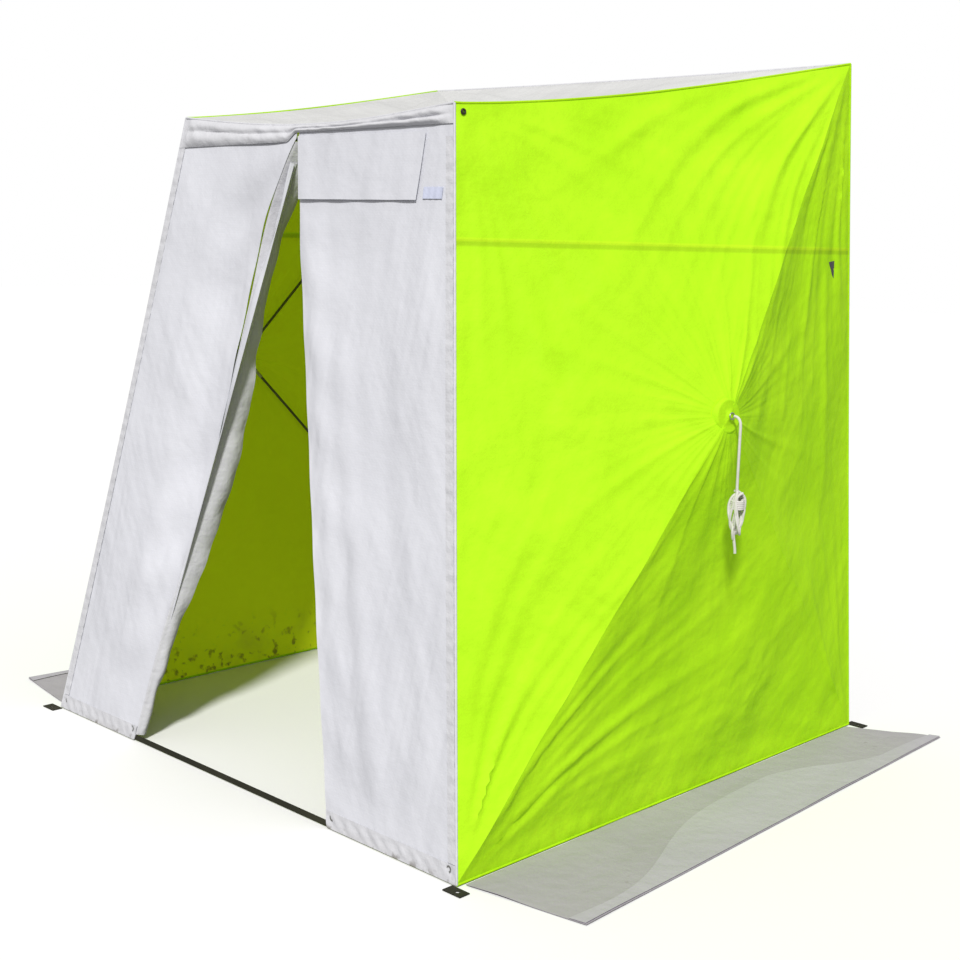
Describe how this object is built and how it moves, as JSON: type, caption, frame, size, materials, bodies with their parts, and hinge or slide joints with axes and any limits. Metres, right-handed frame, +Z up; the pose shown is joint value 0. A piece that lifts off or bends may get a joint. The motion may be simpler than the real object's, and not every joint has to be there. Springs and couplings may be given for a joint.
{
  "type": "ice fishing shelter",
  "caption": "Pop-up ice fishing shelter with hub-and-pole walls in lime cloth, white front and roof, split zip door and floor skirts.",
  "frame": {"origin": "middle of the box's foot, on the floor", "axes": "+Z up, the door faces -Y, +X to the right as seen by someone facing the door"},
  "size_m": [2.53, 1.989, 2.104],
  "materials": {
    "white_cloth": "coated polyester, matte",
    "lime_cloth": "coated polyester, matte",
    "grey_cloth": "coated polyester, matte",
    "olive_web": "woven webbing",
    "black_mesh": "open mesh",
    "hub_plastic": "moulded nylon",
    "fibreglass": "glass fibre rod, satin",
    "zinc": "zinc plated",
    "zip_grey": "moulded teeth on tape",
    "white_cord": "braided cord"
  },
  "bodies": {
    "shelter": {"front_panel_left": "white_cloth", "front_panel_right": "white_cloth", "front_header": "white_cloth", "front_hems": "white_cloth", "front_binding": "white_cloth", "back_panel": "white_cloth", "back_hem": "white_cloth", "edge_piping": "white_cloth", "corner_pockets": "olive_web", "stake_loops": "olive_web", "hem_eyelets": "zinc", "threshold_strap": "olive_web", "panel_tag": "grey_cloth", "vent_screen": "black_mesh"},
    "hub_right_moving": {"hub_right": "hub_plastic", "hub_pins_right": "zinc", "hub_patch_right": "lime_cloth"},
    "pole_right_front_base": {"pole_right_front_base": "fibreglass"},
    "pole_right_back_base": {"pole_right_back_base": "fibreglass"},
    "pole_right_back_top": {"pole_right_back_top": "fibreglass"},
    "pole_right_front_top": {"pole_right_front_top": "fibreglass"},
    "wall_right_base": {"wall_right_base": "lime_cloth"},
    "wall_right_back": {"wall_right_back": "lime_cloth", "cable_port": "black_mesh"},
    "wall_right_top": {"wall_right_top": "lime_cloth"},
    "wall_right_front": {"wall_right_front": "lime_cloth"},
    "hub_left_moving": {"hub_left": "hub_plastic", "hub_pins_left": "zinc", "hub_patch_left": "lime_cloth"},
    "pole_left_front_base": {"pole_left_front_base": "fibreglass"},
    "pole_left_back_base": {"pole_left_back_base": "fibreglass"},
    "pole_left_back_top": {"pole_left_back_top": "fibreglass"},
    "pole_left_front_top": {"pole_left_front_top": "fibreglass"},
    "wall_left_base": {"wall_left_base": "lime_cloth"},
    "wall_left_back": {"wall_left_back": "lime_cloth"},
    "wall_left_top": {"wall_left_top": "lime_cloth"},
    "wall_left_front": {"wall_left_front": "lime_cloth"},
    "hub_roof_moving": {"hub_roof": "hub_plastic", "hub_pins_roof": "zinc", "hub_patch_roof": "white_cloth"},
    "pole_roof_front_left": {"pole_roof_front_left": "fibreglass"},
    "pole_roof_front_right": {"pole_roof_front_right": "fibreglass"},
    "pole_roof_back_right": {"pole_roof_back_right": "fibreglass"},
    "pole_roof_back_left": {"pole_roof_back_left": "fibreglass"},
    "roof_front": {"roof_front": "white_cloth"},
    "roof_right": {"roof_right": "white_cloth"},
    "roof_back": {"roof_back": "white_cloth"},
    "roof_left": {"roof_left": "white_cloth"},
    "pull_cord_hanging": {"pull_cord": "white_cord", "cord_bundle": "white_cord"},
    "door_flap_right": {"door_flap_right": "white_cloth", "door_zip_right": "zip_grey"},
    "door_flap_left": {"door_flap_left": "white_cloth", "door_zip_left": "zip_grey"},
    "zip_slider": {"zip_slider": "zinc"},
    "vent_flap": {"vent_flap": "white_cloth"},
    "skirt_right": {"skirt_right": "grey_cloth"},
    "skirt_left": {"skirt_left": "grey_cloth"}
  },
  "joints": [
    {"name": "hub_right_pop", "type": "slide", "parent": "shelter", "child": "hub_right_moving", "axis": [-0.9905, 0.1019, -0.0928], "range_m": [0, 0.52]},
    {"name": "pole_right_front_base_turn", "type": "hinge", "parent": "hub_right_moving", "child": "pole_right_front_base", "pos_m": [1.04548, -0.14307, 1.08485], "axis": [-0.1374, -0.7838, 0.6057], "range_deg": [0, 21.71]},
    {"name": "pole_right_back_base_turn", "type": "hinge", "parent": "hub_right_moving", "child": "pole_right_back_base", "pos_m": [1.04951, -0.1023, 1.08654], "axis": [-0.0138, -0.7432, -0.6689], "range_deg": [0, 20.6]},
    {"name": "pole_right_back_top_turn", "type": "hinge", "parent": "hub_right_moving", "child": "pole_right_back_top", "pos_m": [1.04475, -0.10397, 1.13552], "axis": [0.1373, 0.7864, -0.6022], "range_deg": [0, 23.69]},
    {"name": "pole_right_front_top_turn", "type": "hinge", "parent": "hub_right_moving", "child": "pole_right_front_top", "pos_m": [1.04079, -0.1424, 1.13557], "axis": [0.026, 0.7995, 0.6], "range_deg": [0, 29.26]},
    {"name": "wall_right_base_turn", "type": "hinge", "parent": "shelter", "child": "wall_right_base", "pos_m": [0.915, -0.0405, 0.004], "axis": [0, -1, 0], "range_deg": [0, 26.73]},
    {"name": "wall_right_back_turn", "type": "hinge", "parent": "shelter", "child": "wall_right_back", "pos_m": [0.9, 0.7685, 1.052], "axis": [0.0142, 0.1006, -0.9948], "range_deg": [0, 33.38]},
    {"name": "wall_right_top_turn", "type": "hinge", "parent": "shelter", "child": "wall_right_top", "pos_m": [0.731, -0.0155, 1.995], "axis": [0.219, 0.9642, 0.1493], "range_deg": [0, 32.23]},
    {"name": "wall_right_front_turn", "type": "hinge", "parent": "shelter", "child": "wall_right_front", "pos_m": [0.746, -0.8245, 0.947], "axis": [-0.1748, 0.1355, 0.9752], "range_deg": [0, 40.23]},
    {"name": "hub_left_pop", "type": "slide", "parent": "shelter", "child": "hub_left_moving", "axis": [0.9905, 0.1019, -0.0928], "range_m": [0, 0.52]},
    {"name": "pole_left_front_base_turn", "type": "hinge", "parent": "hub_left_moving", "child": "pole_left_front_base", "pos_m": [-1.04548, -0.14307, 1.08485], "axis": [-0.1374, 0.7838, -0.6057], "range_deg": [0, 21.71]},
    {"name": "pole_left_back_base_turn", "type": "hinge", "parent": "hub_left_moving", "child": "pole_left_back_base", "pos_m": [-1.04951, -0.1023, 1.08654], "axis": [-0.0138, 0.7432, 0.6689], "range_deg": [0, 20.6]},
    {"name": "pole_left_back_top_turn", "type": "hinge", "parent": "hub_left_moving", "child": "pole_left_back_top", "pos_m": [-1.04475, -0.10397, 1.13552], "axis": [0.1373, -0.7864, 0.6022], "range_deg": [0, 23.69]},
    {"name": "pole_left_front_top_turn", "type": "hinge", "parent": "hub_left_moving", "child": "pole_left_front_top", "pos_m": [-1.04079, -0.1424, 1.13557], "axis": [0.026, -0.7995, -0.6], "range_deg": [0, 29.26]},
    {"name": "wall_left_base_turn", "type": "hinge", "parent": "shelter", "child": "wall_left_base", "pos_m": [-0.915, -0.0405, 0.004], "axis": [0, 1, 0], "range_deg": [0, 26.73]},
    {"name": "wall_left_back_turn", "type": "hinge", "parent": "shelter", "child": "wall_left_back", "pos_m": [-0.9, 0.7685, 1.052], "axis": [0.0142, -0.1006, 0.9948], "range_deg": [0, 33.38]},
    {"name": "wall_left_top_turn", "type": "hinge", "parent": "shelter", "child": "wall_left_top", "pos_m": [-0.731, -0.0155, 1.995], "axis": [0.219, -0.9642, -0.1493], "range_deg": [0, 32.23]},
    {"name": "wall_left_front_turn", "type": "hinge", "parent": "shelter", "child": "wall_left_front", "pos_m": [-0.746, -0.8245, 0.947], "axis": [-0.1748, -0.1355, -0.9752], "range_deg": [0, 40.23]},
    {"name": "hub_roof_pop", "type": "slide", "parent": "shelter", "child": "hub_roof_moving", "axis": [0, -0.153, 0.9882], "range_m": [0, 0.34]},
    {"name": "pole_roof_front_left_turn", "type": "hinge", "parent": "hub_roof_moving", "child": "pole_roof_front_left", "pos_m": [-0.01887, 0.09073, 1.81919], "axis": [0.8075, -0.5829, -0.0903], "range_deg": [0, 20.38]},
    {"name": "pole_roof_front_right_turn", "type": "hinge", "parent": "hub_roof_moving", "child": "pole_roof_front_right", "pos_m": [0.01887, 0.09073, 1.81919], "axis": [0.8075, 0.5829, 0.0903], "range_deg": [0, 20.38]},
    {"name": "pole_roof_back_right_turn", "type": "hinge", "parent": "hub_roof_moving", "child": "pole_roof_back_right", "pos_m": [0.02673, 0.13365, 1.82583], "axis": [-0.5496, 0.8256, 0.1279], "range_deg": [0, 18.8]},
    {"name": "pole_roof_back_left_turn", "type": "hinge", "parent": "hub_roof_moving", "child": "pole_roof_back_left", "pos_m": [-0.02673, 0.13365, 1.82583], "axis": [-0.5496, -0.8256, -0.1279], "range_deg": [0, 18.8]},
    {"name": "roof_front_turn", "type": "hinge", "parent": "shelter", "child": "roof_front", "pos_m": [0, -0.6935, 1.89], "axis": [1, 0, 0], "range_deg": [0, 24.3]},
    {"name": "roof_right_turn", "type": "hinge", "parent": "shelter", "child": "roof_right", "pos_m": [0.731, -0.0155, 1.995], "axis": [0.219, 0.9642, 0.1493], "range_deg": [0, 26.02]},
    {"name": "roof_back_turn", "type": "hinge", "parent": "shelter", "child": "roof_back", "pos_m": [0, 0.6625, 2.1], "axis": [-1, 0, 0], "range_deg": [0, 32.57]},
    {"name": "roof_left_turn", "type": "hinge", "parent": "shelter", "child": "roof_left", "pos_m": [-0.731, -0.0155, 1.995], "axis": [0.219, -0.9642, -0.1493], "range_deg": [0, 26.02]},
    {"name": "pull_cord_swing", "type": "hinge", "parent": "hub_right_moving", "child": "pull_cord_hanging", "pos_m": [1.07385, -0.12642, 1.11284], "axis": [0, -1, 0], "range_deg": [0, 22]},
    {"name": "door_flap_right_turn", "type": "hinge", "parent": "shelter", "child": "door_flap_right", "pos_m": [0.43, -0.93965, -0.0022], "axis": [-0.2412, 0.1333, 0.9613], "range_deg": [0, 148]},
    {"name": "door_flap_left_turn", "type": "hinge", "parent": "shelter", "child": "door_flap_left", "pos_m": [-0.49, -0.93965, -0.0022], "axis": [-0.2412, -0.1333, -0.9613], "range_deg": [0, 148]},
    {"name": "zip_slider_run", "type": "slide", "parent": "door_flap_right", "child": "zip_slider", "axis": [0.4325, 0.004, -0.9016], "range_m": [0, 1.623]},
    {"name": "vent_flap_turn", "type": "hinge", "parent": "shelter", "child": "vent_flap", "pos_m": [0, -0.7051, 1.82086], "axis": [-1, 0, 0], "range_deg": [0, 110]},
    {"name": "skirt_right_turn", "type": "hinge", "parent": "shelter", "child": "skirt_right", "pos_m": [0.925, 0, 0.001], "axis": [0, -1, 0], "range_deg": [0, 70]},
    {"name": "skirt_left_turn", "type": "hinge", "parent": "shelter", "child": "skirt_left", "pos_m": [-0.925, 0, 0.001], "axis": [0, 1, 0], "range_deg": [0, 70]}
  ],
  "couplings": [
    {"joint": "pole_right_front_base_turn", "follows": "hub_right_pop", "rad_per_m": 0.72827},
    {"joint": "pole_right_back_base_turn", "follows": "hub_right_pop", "rad_per_m": 0.69091},
    {"joint": "pole_right_back_top_turn", "follows": "hub_right_pop", "rad_per_m": 0.79475},
    {"joint": "pole_right_front_top_turn", "follows": "hub_right_pop", "rad_per_m": 0.9815},
    {"joint": "wall_right_base_turn", "follows": "hub_right_pop", "rad_per_m": 0.89671},
    {"joint": "wall_right_back_turn", "follows": "hub_right_pop", "rad_per_m": 1.1197},
    {"joint": "wall_right_top_turn", "follows": "hub_right_pop", "rad_per_m": 1.0811},
    {"joint": "wall_right_front_turn", "follows": "hub_right_pop", "rad_per_m": 1.3498},
    {"joint": "pole_left_front_base_turn", "follows": "hub_left_pop", "rad_per_m": 0.72827},
    {"joint": "pole_left_back_base_turn", "follows": "hub_left_pop", "rad_per_m": 0.69091},
    {"joint": "pole_left_back_top_turn", "follows": "hub_left_pop", "rad_per_m": 0.79475},
    {"joint": "pole_left_front_top_turn", "follows": "hub_left_pop", "rad_per_m": 0.9815},
    {"joint": "wall_left_base_turn", "follows": "hub_left_pop", "rad_per_m": 0.89671},
    {"joint": "wall_left_back_turn", "follows": "hub_left_pop", "rad_per_m": 1.1197},
    {"joint": "wall_left_top_turn", "follows": "hub_left_pop", "rad_per_m": 1.0811},
    {"joint": "wall_left_front_turn", "follows": "hub_left_pop", "rad_per_m": 1.3498},
    {"joint": "pole_roof_front_left_turn", "follows": "hub_roof_pop", "rad_per_m": 1.0456},
    {"joint": "pole_roof_front_right_turn", "follows": "hub_roof_pop", "rad_per_m": 1.0456},
    {"joint": "pole_roof_back_right_turn", "follows": "hub_roof_pop", "rad_per_m": 0.96467},
    {"joint": "pole_roof_back_left_turn", "follows": "hub_roof_pop", "rad_per_m": 0.96467},
    {"joint": "roof_front_turn", "follows": "hub_roof_pop", "rad_per_m": 1.2468},
    {"joint": "roof_right_turn", "follows": "hub_roof_pop", "rad_per_m": 1.3353},
    {"joint": "roof_back_turn", "follows": "hub_roof_pop", "rad_per_m": 1.6713},
    {"joint": "roof_left_turn", "follows": "hub_roof_pop", "rad_per_m": 1.3353},
    {"joint": "pull_cord_swing", "follows": "hub_right_pop", "rad_per_m": 0.73774}
  ]
}
